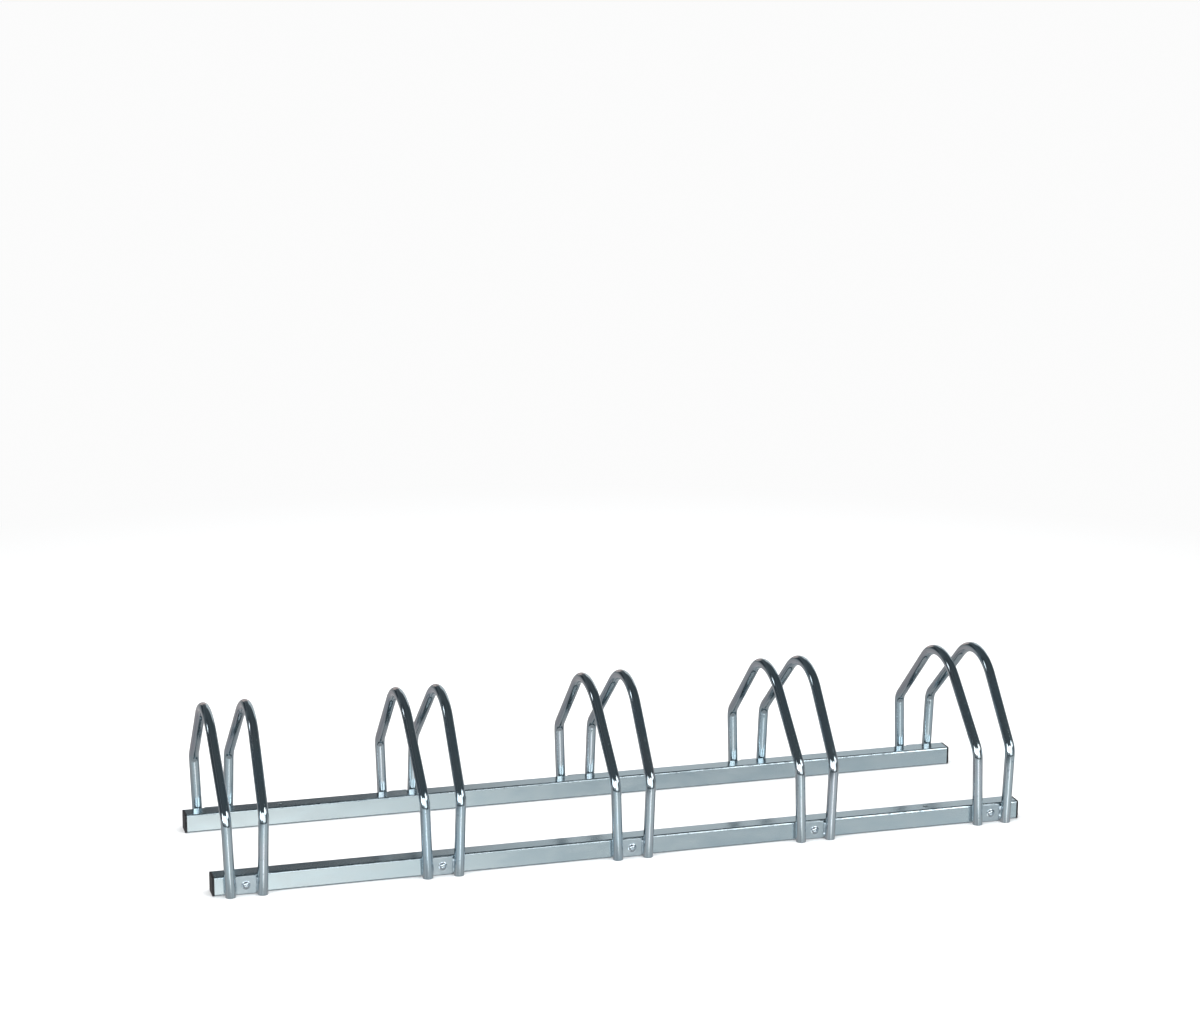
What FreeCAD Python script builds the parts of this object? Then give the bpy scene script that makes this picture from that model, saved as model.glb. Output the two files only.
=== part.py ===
import FreeCAD, Part
import math
import os

import Sketcher

# Floor bike rack for five wheels.
# Two square steel tubes lie on the ground and carry five wheel holders.  A holder is a pair of round
# tubes bent into hoops that lean apart towards the top, with a small plate welded between their legs at
# the front and at the rear.  One flanged button-head screw holds each plate to its rail, in a threaded
# insert set in the rail's wall.  Plastic caps close the rails' ends.
#
# +X runs along the rails, +Y to the rear, +Z up.  The origin is on the ground, under the middle.

# Driving dimensions in millimetres, degrees and counts: name, value, meaning.
SIZES = (
    ("overall_length", 1300, "over the end caps"),
    ("rail_span", 314, "front face of the front rail to back face of the rear rail"),
    ("rail_size", 30, "outside width and height of the square tube"),
    ("rail_wall", 1.5, "wall of the square tube"),
    ("rail_corner", 3, "outside corner radius of the square tube"),
    ("fixing_hole", 6.5, "hole down through a rail, for fixing the rack to the ground"),
    ("fixing_distance", 155, "end of the rack to the fixing hole of a rail"),
    ("cap_flange", 3.5, "thickness of a cap outside the tube"),
    ("cap_bevel", 0.8, "bevel round a cap's outer face"),
    ("cap_depth", 18, "length of a cap's plug"),
    ("cap_wall", 1.8, "wall of a cap's hollow plug"),
    ("cap_rib_height", 1.2, "height of a plug's gripping ribs"),
    ("cap_rib_width", 1, "thickness of a gripping rib"),
    ("cap_rib_pitch", 4.5, "distance from rib to rib"),
    ("cap_rib_count", 3, "gripping ribs on a plug"),
    ("cap_play", 0.05, "gap between a rib and the tube's inner wall"),
    ("holder_count", 5, "wheel holders on the rack"),
    ("end_distance", 50, "end of the rack to the middle of the nearest holder"),
    ("tube_diameter", 16, "outside diameter of a hoop's tube"),
    ("tube_wall", 1.2, "wall of a hoop's tube"),
    ("leg_spacing", 48, "distance between the axes of a holder's two legs at the ground"),
    ("leg_play", 0.1, "gap between a leg and the rail's face"),
    ("splay", 1.9, "outward lean of each hoop in degrees"),
    ("hoop_height", 252, "ground to the top of a hoop"),
    ("apex_radius", 88, "bend radius at the top of a hoop, on the tube's axis"),
    ("apex_shift", 8.5, "distance of the top bend's centre in front of the middle"),
    ("knee_radius", 28, "bend radius between a leg and a slope, on the tube's axis"),
    ("front_leg", 111, "straight length of a front leg"),
    ("rear_leg", 104, "straight length of a rear leg"),
    ("plate_thickness", 3, "thickness of a holder's plate"),
    ("plate_inset", 0.5, "distance of a plate's edges below the rail's top and above its bottom"),
    ("plate_corner", 5, "corner radius of a plate"),
    ("plate_play", 0.3, "gap between a plate's side and the leg beside it"),
    ("screw_diameter", 6, "thread diameter"),
    ("screw_length", 16, "length of a screw under its head"),
    ("screw_tip", 1, "chamfer of a screw's end"),
    ("screw_hole_play", 0.3, "gap round a screw in a plate's hole"),
    ("head_flange", 13.6, "diameter of a screw head's flange"),
    ("head_flange_rim", 0.9, "thickness of the flange"),
    ("head_dome", 10.5, "diameter of the domed part of the head"),
    ("head_height", 3.3, "height of the head"),
    ("head_flat", 5.6, "diameter of the flat on top of the head"),
    ("head_crown", 4.5, "radius of the dome between that flat and the flange"),
    ("socket_width", 4, "hexagon socket, across its flats"),
    ("socket_depth", 2.1, "depth of the socket"),
    ("insert_diameter", 9, "body diameter of a threaded insert"),
    ("insert_flange", 12, "diameter of the insert's thin flange"),
    ("insert_flange_rim", 0.5, "thickness of the insert's flange"),
    ("insert_bulge", 12, "diameter of the collar upset behind the wall"),
    ("insert_bulge_length", 4, "length of that collar"),
    ("insert_length", 14, "length of the insert behind its flange"),
    ("insert_play", 0.05, "gap round the insert in its hole, and round the screw in the insert"),
    ("weld_leg", 3, "width of a weld bead on the plate and its reach round the tube"),
    ("weld_crown", 4, "radius of a bead's rounded face"),
    ("weld_inset", 4.5, "distance of a bead's ends from the plate's top and bottom edges"),
)

# Sizes that follow from the driving ones, as expressions.
RAIL_LENGTH = "(dims.overall_length - 2 * dims.cap_flange)"
RAIL_Y = "((dims.rail_span - dims.rail_size) / 2)"
RAIL_BORE = "(dims.rail_size - 2 * dims.rail_wall)"
RAIL_BORE_CORNER = "(dims.rail_corner - dims.rail_wall)"
RIB_SIZE = f"({RAIL_BORE} - 2 * dims.cap_play)"
PLUG_SIZE = f"({RIB_SIZE} - 2 * dims.cap_rib_height)"
PLUG_BORE = f"({PLUG_SIZE} - 2 * dims.cap_wall)"
LAST_HOLDER_X = "(dims.overall_length / 2 - dims.end_distance)"
PATTERN_LENGTH = f"(2 * {LAST_HOLDER_X})"
HOLDER_PITCH = f"({PATTERN_LENGTH} / (dims.holder_count - 1))"
TUBE_RADIUS = "(dims.tube_diameter / 2)"
LEG_Y = f"(dims.rail_span / 2 + dims.leg_play + {TUBE_RADIUS})"
# A leg is cut square and leans, so it stands on the low side of its rim.
LEG_LIFT = f"({TUBE_RADIUS} * sin(dims.splay * 1 deg))"
APEX_CENTRE_Z = (
    f"((dims.hoop_height - {TUBE_RADIUS} - {LEG_LIFT}) / cos(dims.splay * 1 deg) - dims.apex_radius)"
)
# Each plate lies on its insert's flange, and its front face stands this far behind the legs' axes.
PLATE_FRONT_Y = "(dims.rail_span / 2 + dims.insert_flange_rim + dims.plate_thickness)"
PLATE_SETBACK = f"({LEG_Y} - {PLATE_FRONT_Y})"
# Half the tube's width where the plate's front face meets it.
FLANK_X = f"sqrt({TUBE_RADIUS} ^ 2 - {PLATE_SETBACK} ^ 2)"
PLATE_WIDTH = f"(dims.leg_spacing - 2 * {FLANK_X} - 2 * dims.plate_play)"
PLATE_HEIGHT = "(dims.rail_size - 2 * dims.plate_inset)"
WELD_START_Z = "(dims.plate_inset + dims.weld_inset)"
WELD_LENGTH = f"({PLATE_HEIGHT} - 2 * dims.weld_inset)"

FRONT, REAR = "front", "rear"
# Turning a front sub-part by this angle about the upright axis makes the rear one.
TURN = {FRONT: 0, REAR: 180}
OUTWARD = {FRONT: -1, REAR: 1}

document = FreeCAD.newDocument("floor_bike_rack")
dims = document.addObject("Spreadsheet::Sheet", "dims")
for row, (name, size, meaning) in enumerate(SIZES, start=1):
    dims.set(f"A{row}", meaning)
    dims.set(f"B{row}", str(size))
    dims.setAlias(f"B{row}", name)
document.recompute()

sub_parts = []


def value(expression):
    """Number that an expression has with the present sizes."""
    return float(dims.evalExpression(expression))


def new_body(name):
    """Empty sub-part, whose label names its file."""
    body = document.addObject("PartDesign::Body", name)
    body.Label = name
    sub_parts.append(body)
    return body


def place(body, x_size, y_size, z_size, axis=(0, 0, 1), angle="0"):
    """Stand a sub-part at a place given by expressions, turned about an axis."""
    body.Placement = FreeCAD.Placement(FreeCAD.Vector(), FreeCAD.Rotation(FreeCAD.Vector(axis), 1))
    body.setExpression("Placement.Base.x", x_size)
    body.setExpression("Placement.Base.y", y_size)
    body.setExpression("Placement.Base.z", z_size)
    body.setExpression("Placement.Rotation.Angle", f"{angle} * 1 deg")


def origin_part(body, role):
    """Origin plane or axis of a body."""
    return next(part for part in body.Origin.OriginFeatures if part.Role == role)


def new_sketch(body, name, plane, offset="0"):
    """Sketch on one of the body's origin planes, moved along its normal."""
    sketch = body.newObject("Sketcher::SketchObject", name)
    sketch.AttachmentSupport = (origin_part(body, plane), [""])
    sketch.MapMode = "FlatFace"
    sketch.setExpression("AttachmentOffset.Base.z", offset)
    return sketch


def bind(sketch, kind, *geometry, size):
    """Dimension in a sketch that follows an expression."""
    index = sketch.addConstraint(Sketcher.Constraint(kind, *geometry, value(size)))
    sketch.setExpression(f"Constraints[{index}]", size)


def rounded_square(sketch, width, height, corner):
    """Closed outline with four equal round corners, centred on the sketch's origin."""
    half_x, half_y, radius = value(width) / 2, value(height) / 2, value(corner)
    sides = []
    corners = []
    for quarter in range(4):
        angle = quarter * math.pi / 2
        along, across = (half_x, half_y) if quarter % 2 == 0 else (half_y, half_x)
        start = FreeCAD.Vector(along, radius - across, 0)
        end = FreeCAD.Vector(along, across - radius, 0)
        centre = FreeCAD.Vector(along - radius, across - radius, 0)
        turn = FreeCAD.Rotation(FreeCAD.Vector(0, 0, 1), math.degrees(angle))
        side = Part.LineSegment(turn.multVec(start), turn.multVec(end))
        circle = Part.Circle(turn.multVec(centre), FreeCAD.Vector(0, 0, 1), radius)
        sides.append(sketch.addGeometry(side))
        corners.append(sketch.addGeometry(Part.ArcOfCircle(circle, angle, angle + math.pi / 2)))
    for quarter in range(4):
        sketch.addConstraint(Sketcher.Constraint("Tangent", sides[quarter], 2, corners[quarter], 1))
        following = sides[(quarter + 1) % 4]
        sketch.addConstraint(Sketcher.Constraint("Tangent", corners[quarter], 2, following, 1))
    for side in sides[0::2]:
        sketch.addConstraint(Sketcher.Constraint("Vertical", side))
    for side in sides[1::2]:
        sketch.addConstraint(Sketcher.Constraint("Horizontal", side))
    for other in corners[1:]:
        sketch.addConstraint(Sketcher.Constraint("Equal", corners[0], other))
    sketch.addConstraint(Sketcher.Constraint("Symmetric", corners[0], 3, corners[2], 3, -1, 1))
    bind(sketch, "Radius", corners[0], size=corner)
    bind(sketch, "DistanceX", sides[2], 1, sides[0], 1, size=width)
    bind(sketch, "DistanceY", sides[3], 1, sides[1], 1, size=height)


def circle_on_axis(sketch, diameter, x_size="0", y_size="0"):
    """Full circle at a place given by expressions."""
    centre = FreeCAD.Vector(value(x_size), value(y_size), 0)
    circle = sketch.addGeometry(
        Part.Circle(centre, FreeCAD.Vector(0, 0, 1), value(diameter) / 2)
    )
    bind(sketch, "Diameter", circle, size=diameter)
    bind(sketch, "DistanceX", -1, 1, circle, 3, size=x_size)
    bind(sketch, "DistanceY", -1, 1, circle, 3, size=y_size)


def pad(body, name, sketch, length, away=False, midplane=False):
    """Pad of a sketch, along its normal or away from it."""
    feature = body.newObject("PartDesign::Pad", name)
    feature.Profile = sketch
    feature.setExpression("Length", length)
    feature.Reversed = away
    feature.Midplane = midplane
    return feature


def repeat_along_rail(body, name, originals):
    """One copy of the features for each holder, from one end of the rail to the other."""
    pattern = body.newObject("PartDesign::LinearPattern", name)
    pattern.Originals = originals
    pattern.Direction = (origin_part(body, "X_Axis"), [""])
    pattern.setExpression("Length", PATTERN_LENGTH)
    pattern.setExpression("Occurrences", "dims.holder_count")
    body.Tip = pattern


def make_rail(side):
    """Square tube with round corners, a hole for each insert in its outer wall and one fixing hole."""
    rail = new_body(f"{side}_rail")
    section = new_sketch(rail, f"{side}_rail_section", "YZ_Plane")
    rounded_square(section, "dims.rail_size", "dims.rail_size", "dims.rail_corner")
    rounded_square(section, RAIL_BORE, RAIL_BORE, RAIL_BORE_CORNER)
    pad(rail, f"{side}_rail_tube", section, RAIL_LENGTH, midplane=True)

    # The upright plane through the tube's axis faces the outer wall, which is the only one drilled.
    hole = new_sketch(rail, f"{side}_rail_hole_outline", "XZ_Plane")
    hole_diameter = "dims.insert_diameter + 2 * dims.insert_play"
    circle_on_axis(hole, hole_diameter, x_size=f"-{LAST_HOLDER_X}")
    drilling = rail.newObject("PartDesign::Pocket", f"{side}_rail_hole")
    drilling.Profile = hole
    drilling.Reversed = True
    drilling.setExpression("Length", "dims.rail_size")
    repeat_along_rail(rail, f"{side}_rail_holes", [drilling])

    # The fixing hole goes through both walls near one end.  The rear rail is the same part turned round,
    # so the rack's two fixing holes lie crosswise.
    fixing = new_sketch(rail, f"{side}_rail_fixing_outline", "XY_Plane")
    circle_on_axis(fixing, "dims.fixing_hole", x_size="dims.overall_length / 2 - dims.fixing_distance")
    boring = rail.newObject("PartDesign::Pocket", f"{side}_rail_fixing_hole")
    boring.Profile = fixing
    boring.Midplane = True
    boring.setExpression("Length", "2 * dims.rail_size")
    rail.Tip = boring
    place(rail, "0", f"{OUTWARD[side]} * {RAIL_Y}", "dims.rail_size / 2", angle=str(TURN[side]))


def make_cap(side, end, direction):
    """Plastic cap: a flange as wide as the tube and a hollow plug with gripping ribs."""
    name = f"{side}_rail_cap_{end}"
    cap = new_body(name)
    flange_outline = new_sketch(cap, f"{name}_flange_outline", "YZ_Plane")
    rounded_square(flange_outline, "dims.rail_size", "dims.rail_size", "dims.rail_corner")
    flange = pad(cap, f"{name}_flange", flange_outline, "dims.cap_flange")

    plug_outline = new_sketch(cap, f"{name}_plug_outline", "YZ_Plane")
    rounded_square(plug_outline, PLUG_SIZE, PLUG_SIZE, RAIL_BORE_CORNER)
    rounded_square(plug_outline, PLUG_BORE, PLUG_BORE, RAIL_BORE_CORNER)
    pad(cap, f"{name}_plug", plug_outline, "dims.cap_depth", away=True)

    rib_outline = new_sketch(cap, f"{name}_rib_outline", "YZ_Plane", "-dims.cap_rib_pitch")
    rounded_square(rib_outline, RIB_SIZE, RIB_SIZE, RAIL_BORE_CORNER)
    rounded_square(rib_outline, PLUG_BORE, PLUG_BORE, RAIL_BORE_CORNER)
    rib = pad(cap, f"{name}_rib", rib_outline, "dims.cap_rib_width", away=True)
    ribs = cap.newObject("PartDesign::LinearPattern", f"{name}_ribs")
    ribs.Originals = [rib]
    ribs.Direction = (origin_part(cap, "X_Axis"), [""])
    ribs.Reversed = True
    ribs.setExpression("Length", "(dims.cap_rib_count - 1) * dims.cap_rib_pitch")
    ribs.setExpression("Occurrences", "dims.cap_rib_count")
    cap.Tip = ribs
    document.recompute()

    outer_face = value("dims.cap_flange")
    bevel = cap.newObject("PartDesign::Chamfer", f"{name}_bevel")
    bevel.Base = (ribs, [
        f"Edge{number}" for number, edge in enumerate(ribs.Shape.Edges, start=1)
        if all(abs(vertex.X - outer_face) < 1e-6 for vertex in edge.Vertexes)
    ])
    bevel.setExpression("Size", "dims.cap_bevel")
    cap.Tip = bevel
    place(
        cap,
        f"{direction} * {RAIL_LENGTH} / 2",
        f"{OUTWARD[side]} * {RAIL_Y}",
        "dims.rail_size / 2",
        angle="0" if direction > 0 else "180",
    )


def arc_between(start, end, radius):
    """Shorter arc of a given radius that runs anticlockwise from one point to another."""
    chord = end - start
    to_centre = FreeCAD.Vector(-chord.y, chord.x, 0).normalize()
    rise = math.sqrt(radius ** 2 - (chord.Length / 2) ** 2)
    centre = (start + end) / 2 + to_centre * rise
    first = math.atan2(start.y - centre.y, start.x - centre.x)
    last = math.atan2(end.y - centre.y, end.x - centre.x)
    circle = Part.Circle(centre, FreeCAD.Vector(0, 0, 1), radius)
    return Part.ArcOfCircle(circle, first, last if last > first else last + 2 * math.pi)


def tangent_normal(first_centre, first_radius, second_centre, second_radius):
    """Direction from both centres to the line that touches the two arcs on their left."""
    across = second_centre - first_centre
    heading = math.atan2(across.y, across.x)
    return heading + math.acos((first_radius - second_radius) / across.Length)


def hoop_path(body, name):
    """Axis of the bent tube: leg, knee, slope, top bend, slope, knee and leg, all tangent."""
    path = new_sketch(body, name, "YZ_Plane")
    reach, knee, apex = value(LEG_Y), value("dims.knee_radius"), value("dims.apex_radius")
    up = FreeCAD.Vector(0, 0, 1)
    front_centre = FreeCAD.Vector(knee - reach, value("dims.front_leg"), 0)
    rear_centre = FreeCAD.Vector(reach - knee, value("dims.rear_leg"), 0)
    apex_centre = FreeCAD.Vector(-value("dims.apex_shift"), value(APEX_CENTRE_Z), 0)
    front_turn = tangent_normal(front_centre, knee, apex_centre, apex)
    rear_turn = tangent_normal(apex_centre, apex, rear_centre, knee)

    front_knee = Part.ArcOfCircle(Part.Circle(front_centre, up, knee), front_turn, math.pi)
    apex_bend = Part.ArcOfCircle(Part.Circle(apex_centre, up, apex), rear_turn, front_turn)
    rear_knee = Part.ArcOfCircle(Part.Circle(rear_centre, up, knee), 0, rear_turn)
    front_foot = FreeCAD.Vector(-reach, 0, 0)
    rear_foot = FreeCAD.Vector(reach, 0, 0)
    run = [
        Part.LineSegment(front_foot, front_knee.EndPoint),
        front_knee,
        Part.LineSegment(front_knee.StartPoint, apex_bend.EndPoint),
        apex_bend,
        Part.LineSegment(apex_bend.StartPoint, rear_knee.EndPoint),
        rear_knee,
        Part.LineSegment(rear_knee.StartPoint, rear_foot),
    ]
    front, knee_1, slope_1, top, slope_2, knee_2, rear = [path.addGeometry(edge) for edge in run]

    # The arcs run anticlockwise, against the tube's direction, so a line meets an arc's end point.
    for line, arc in ((front, knee_1), (slope_1, top), (slope_2, knee_2)):
        path.addConstraint(Sketcher.Constraint("Tangent", line, 2, arc, 2))
    for arc, line in ((knee_1, slope_1), (top, slope_2), (knee_2, rear)):
        path.addConstraint(Sketcher.Constraint("Tangent", arc, 1, line, 1))
    for leg in (front, rear):
        path.addConstraint(Sketcher.Constraint("Vertical", leg))
    path.addConstraint(Sketcher.Constraint("PointOnObject", front, 1, -1))
    path.addConstraint(Sketcher.Constraint("PointOnObject", rear, 2, -1))
    bind(path, "DistanceX", front, 1, -1, 1, size=LEG_Y)
    bind(path, "DistanceX", -1, 1, rear, 2, size=LEG_Y)
    bind(path, "DistanceY", front, 1, front, 2, size="dims.front_leg")
    bind(path, "DistanceY", rear, 2, rear, 1, size="dims.rear_leg")
    bind(path, "Radius", knee_1, size="dims.knee_radius")
    bind(path, "Radius", knee_2, size="dims.knee_radius")
    bind(path, "Radius", top, size="dims.apex_radius")
    bind(path, "DistanceX", top, 3, -1, 1, size="dims.apex_shift")
    bind(path, "DistanceY", -1, 1, top, 3, size=APEX_CENTRE_Z)
    return path


def make_hoop(number, hand, lean):
    """One bent tube of a holder, leaning outwards on its two square-cut legs."""
    name = f"hoop_{number}_{hand}"
    hoop = new_body(name)
    path = hoop_path(hoop, f"{name}_axis")
    section = new_sketch(hoop, f"{name}_section", "XY_Plane")
    circle_on_axis(section, "dims.tube_diameter", y_size=f"-{LEG_Y}")
    circle_on_axis(section, "dims.tube_diameter - 2 * dims.tube_wall", y_size=f"-{LEG_Y}")
    document.recompute()

    tube = hoop.newObject("PartDesign::AdditivePipe", f"{name}_tube")
    tube.Profile = section
    tube.Spine = (path, [f"Edge{edge + 1}" for edge in range(path.GeometryCount)])
    hoop.Tip = tube
    holder_x = f"({number} - 1) * {HOLDER_PITCH} - {LAST_HOLDER_X}"
    place(
        hoop,
        f"{holder_x} + {lean} * dims.leg_spacing / 2",
        "0",
        LEG_LIFT,
        axis=(0, 1, 0),
        angle=f"{lean} * dims.splay",
    )


def make_plate(side, number):
    """Plate with round corners and a screw hole, between the legs of one holder."""
    name = f"{side}_plate_{number}"
    plate = new_body(name)
    outline = new_sketch(plate, f"{name}_outline", "XZ_Plane")
    rounded_square(outline, PLATE_WIDTH, PLATE_HEIGHT, "dims.plate_corner")
    circle_on_axis(outline, "dims.screw_diameter + 2 * dims.screw_hole_play")
    pad(plate, f"{name}_sheet", outline, "dims.plate_thickness")
    place(
        plate,
        f"({number} - 1) * {HOLDER_PITCH} - {LAST_HOLDER_X}",
        f"{OUTWARD[side]} * (dims.rail_span / 2 + dims.insert_flange_rim)",
        "dims.rail_size / 2",
        angle=str(TURN[side]),
    )


def make_turned_piece(body, name, outline):
    """Revolve a closed outline about the screw's axis.

    The outline lists (radius, distance inwards) as expressions.  A third entry is the radius of an arc
    that bows outwards from that corner to the next one.
    """
    profile = new_sketch(body, f"{name}_profile", "XY_Plane")
    corners = [FreeCAD.Vector(value(corner[0]), value(corner[1]), 0) for corner in outline]
    edges = []
    for index, corner in enumerate(outline):
        start, end = corners[index], corners[(index + 1) % len(corners)]
        bowed = len(corner) > 2
        edge = arc_between(start, end, value(corner[2])) if bowed else Part.LineSegment(start, end)
        edges.append(profile.addGeometry(edge))
    for index, (radius, depth, *bow) in enumerate(outline):
        edge = edges[index]
        profile.addConstraint(Sketcher.Constraint("Coincident", edges[index - 1], 2, edge, 1))
        bind(profile, "DistanceX", -1, 1, edge, 1, size=radius)
        bind(profile, "DistanceY", -1, 1, edge, 1, size=depth)
        for bow_radius in bow:
            bind(profile, "Radius", edge, size=bow_radius)
    turned = body.newObject("PartDesign::Revolution", f"{name}_turning")
    turned.Profile = profile
    turned.ReferenceAxis = (profile, ["V_Axis"])
    turned.Angle = 360
    return turned


def hexagon(sketch, across_flats):
    """Regular hexagon centred on the sketch's origin, inside a construction circle."""
    across_corners = f"({across_flats} / cos(30 deg))"
    spoke = FreeCAD.Vector(value(across_corners) / 2, 0, 0)
    up = FreeCAD.Vector(0, 0, 1)
    corners = [FreeCAD.Rotation(up, 60 * turn).multVec(spoke) for turn in range(6)]
    circle = sketch.addGeometry(Part.Circle(FreeCAD.Vector(), up, spoke.Length), True)
    sketch.addConstraint(Sketcher.Constraint("Coincident", circle, 3, -1, 1))
    bind(sketch, "Diameter", circle, size=across_corners)
    flats = [
        sketch.addGeometry(Part.LineSegment(start, end))
        for start, end in zip(corners, corners[1:] + corners[:1])
    ]
    for index, flat in enumerate(flats):
        sketch.addConstraint(Sketcher.Constraint("Coincident", flats[index - 1], 2, flat, 1))
        sketch.addConstraint(Sketcher.Constraint("PointOnObject", flat, 1, circle))
    for flat in flats[1:]:
        sketch.addConstraint(Sketcher.Constraint("Equal", flats[0], flat))
    sketch.addConstraint(Sketcher.Constraint("PointOnObject", flats[0], 1, -1))


def make_screws(side):
    """Flanged button-head screws with a hexagon socket, one through each plate."""
    name = f"{side}_screws"
    screws = new_body(name)
    thread = "(dims.screw_diameter / 2)"
    outline = (
        ("0", "-dims.head_height"),
        ("dims.head_flat / 2", "-dims.head_height", "dims.head_crown"),
        ("dims.head_dome / 2", "-dims.head_flange_rim"),
        ("dims.head_flange / 2", "-dims.head_flange_rim"),
        ("dims.head_flange / 2", "0"),
        (thread, "0"),
        (thread, "dims.screw_length - dims.screw_tip"),
        (f"{thread} - dims.screw_tip", "dims.screw_length"),
        ("0", "dims.screw_length"),
    )
    turned = make_turned_piece(screws, name, outline)
    socket = new_sketch(screws, f"{name}_socket_outline", "XZ_Plane", "dims.head_height")
    hexagon(socket, "dims.socket_width")
    recess = screws.newObject("PartDesign::Pocket", f"{name}_socket")
    recess.Profile = socket
    recess.setExpression("Length", "dims.socket_depth")
    repeat_along_rail(screws, f"{name}_row", [turned, recess])
    place(
        screws,
        f"{OUTWARD[side]} * {LAST_HOLDER_X}",
        f"{OUTWARD[side]} * {PLATE_FRONT_Y}",
        "dims.rail_size / 2",
        angle=str(TURN[side]),
    )


def make_inserts(side):
    """Threaded inserts set in the rail's wall: thin flange outside, upset collar inside."""
    name = f"{side}_inserts"
    inserts = new_body(name)
    bore = "(dims.screw_diameter / 2 + dims.insert_play)"
    sleeve = "(dims.insert_diameter / 2)"
    collar_end = "(dims.rail_wall + dims.insert_bulge_length)"
    outline = (
        (bore, "-dims.insert_flange_rim"),
        ("dims.insert_flange / 2", "-dims.insert_flange_rim"),
        ("dims.insert_flange / 2", "0"),
        (sleeve, "0"),
        (sleeve, "dims.rail_wall"),
        ("dims.insert_bulge / 2", "dims.rail_wall"),
        ("dims.insert_bulge / 2", "dims.rail_wall + dims.insert_bulge_length / 2"),
        (sleeve, collar_end),
        (sleeve, "dims.insert_length"),
        (bore, "dims.insert_length"),
    )
    turned = make_turned_piece(inserts, name, outline)
    repeat_along_rail(inserts, f"{name}_row", [turned])
    place(
        inserts,
        f"{OUTWARD[side]} * {LAST_HOLDER_X}",
        f"{OUTWARD[side]} * dims.rail_span / 2",
        "dims.rail_size / 2",
        angle=str(TURN[side]),
    )


def make_welds(side):
    """Weld beads in the corners between each plate's outer face and the legs beside it."""
    name = f"{side}_welds"
    welds = new_body(name)
    beads = []
    for hand in (-1, 1):
        bead = make_bead(welds, f"{name}_{'left' if hand < 0 else 'right'}", hand)
        beads.append(bead)
    repeat_along_rail(welds, f"{name}_row", beads)
    place(
        welds,
        f"{OUTWARD[side]} * {LAST_HOLDER_X}",
        f"{OUTWARD[side]} * {LEG_Y}",
        "0",
        angle=str(TURN[side]),
    )


def make_bead(body, name, hand):
    """One bead, drawn across the leaning leg and padded along it, so that it fits the tube."""
    outline = new_sketch(body, f"{name}_outline", "XY_Plane", WELD_START_Z)
    outline.AttachmentOffset = FreeCAD.Placement(
        FreeCAD.Vector(), FreeCAD.Rotation(FreeCAD.Vector(0, 1, 0), 1)
    )
    rise = f"({WELD_START_Z} - {LEG_LIFT})"
    outline.setExpression(
        "AttachmentOffset.Base.x",
        f"{hand} * (dims.leg_spacing / 2 + {rise} * tan(dims.splay * 1 deg))",
    )
    outline.setExpression("AttachmentOffset.Rotation.Angle", f"{hand} * dims.splay * 1 deg")

    # The corner lies where the plate's outer face meets the flank that the leg turns to the plate.
    radius, setback, width = value(TUBE_RADIUS), value(PLATE_SETBACK), value("dims.weld_leg")
    low_y = setback - width
    corner = FreeCAD.Vector(-hand * value(FLANK_X), setback, 0)
    on_plate = corner + FreeCAD.Vector(-hand * width, 0, 0)
    on_tube = FreeCAD.Vector(-hand * math.sqrt(radius ** 2 - low_y ** 2), low_y, 0)
    tube_ends, face_ends = (corner, on_tube), (on_plate, on_tube)
    if hand < 0:
        tube_ends, face_ends = tube_ends[::-1], face_ends[::-1]
    plate_side = outline.addGeometry(Part.LineSegment(corner, on_plate))
    tube_side = outline.addGeometry(arc_between(*tube_ends, radius))
    face = outline.addGeometry(arc_between(*face_ends, value("dims.weld_crown")))
    near, far = (1, 2) if hand > 0 else (2, 1)
    outline.addConstraint(Sketcher.Constraint("Horizontal", plate_side))
    outline.addConstraint(Sketcher.Constraint("Coincident", tube_side, 3, -1, 1))
    outline.addConstraint(Sketcher.Constraint("Coincident", plate_side, 1, tube_side, near))
    outline.addConstraint(Sketcher.Constraint("Coincident", plate_side, 2, face, near))
    outline.addConstraint(Sketcher.Constraint("Coincident", tube_side, far, face, far))
    bind(outline, "Radius", tube_side, size=TUBE_RADIUS)
    bind(outline, "Radius", face, size="dims.weld_crown")
    bind(outline, "DistanceY", -1, 1, plate_side, 1, size=PLATE_SETBACK)
    bind(outline, "DistanceY", tube_side, far, plate_side, 1, size="dims.weld_leg")
    inner, outer = (2, 1) if hand > 0 else (1, 2)
    bind(outline, "DistanceX", plate_side, inner, plate_side, outer, size="dims.weld_leg")
    return pad(body, f"{name}_bead", outline, WELD_LENGTH)


for side in (FRONT, REAR):
    make_rail(side)
    make_cap(side, "left", -1)
    make_cap(side, "right", 1)
for number in range(1, int(value("dims.holder_count")) + 1):
    make_hoop(number, "left", -1)
    make_hoop(number, "right", 1)
for side in (FRONT, REAR):
    for number in range(1, int(value("dims.holder_count")) + 1):
        make_plate(side, number)
    make_screws(side)
    make_inserts(side)
    make_welds(side)

document.recompute()
for item in document.Objects:
    if "Invalid" in item.State or "Error" in item.State:
        raise RuntimeError(f"{item.Label} failed: {item.State}")
for sub_part in sub_parts:
    if sub_part.Shape.isNull() or not sub_part.Shape.isValid():
        raise RuntimeError(f"{sub_part.Label} has no valid shape")

os.makedirs("parts", exist_ok=True)
for sub_part in sub_parts:
    sub_part.Shape.exportStep(f"parts/{sub_part.Label}.step")
    print(sub_part.Label, len(sub_part.Shape.Solids), round(sub_part.Shape.Volume, 1))
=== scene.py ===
"""Looks of a floor bike rack for five wheels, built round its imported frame.

The file is laid out as an add-on and run as a script.  Lengths are in metres.  +X runs along the rails,
+Y to the rear and +Z up, and the ground is at Z 0.
"""

import math
import random

import bpy
from mathutils import Matrix, Vector


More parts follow.
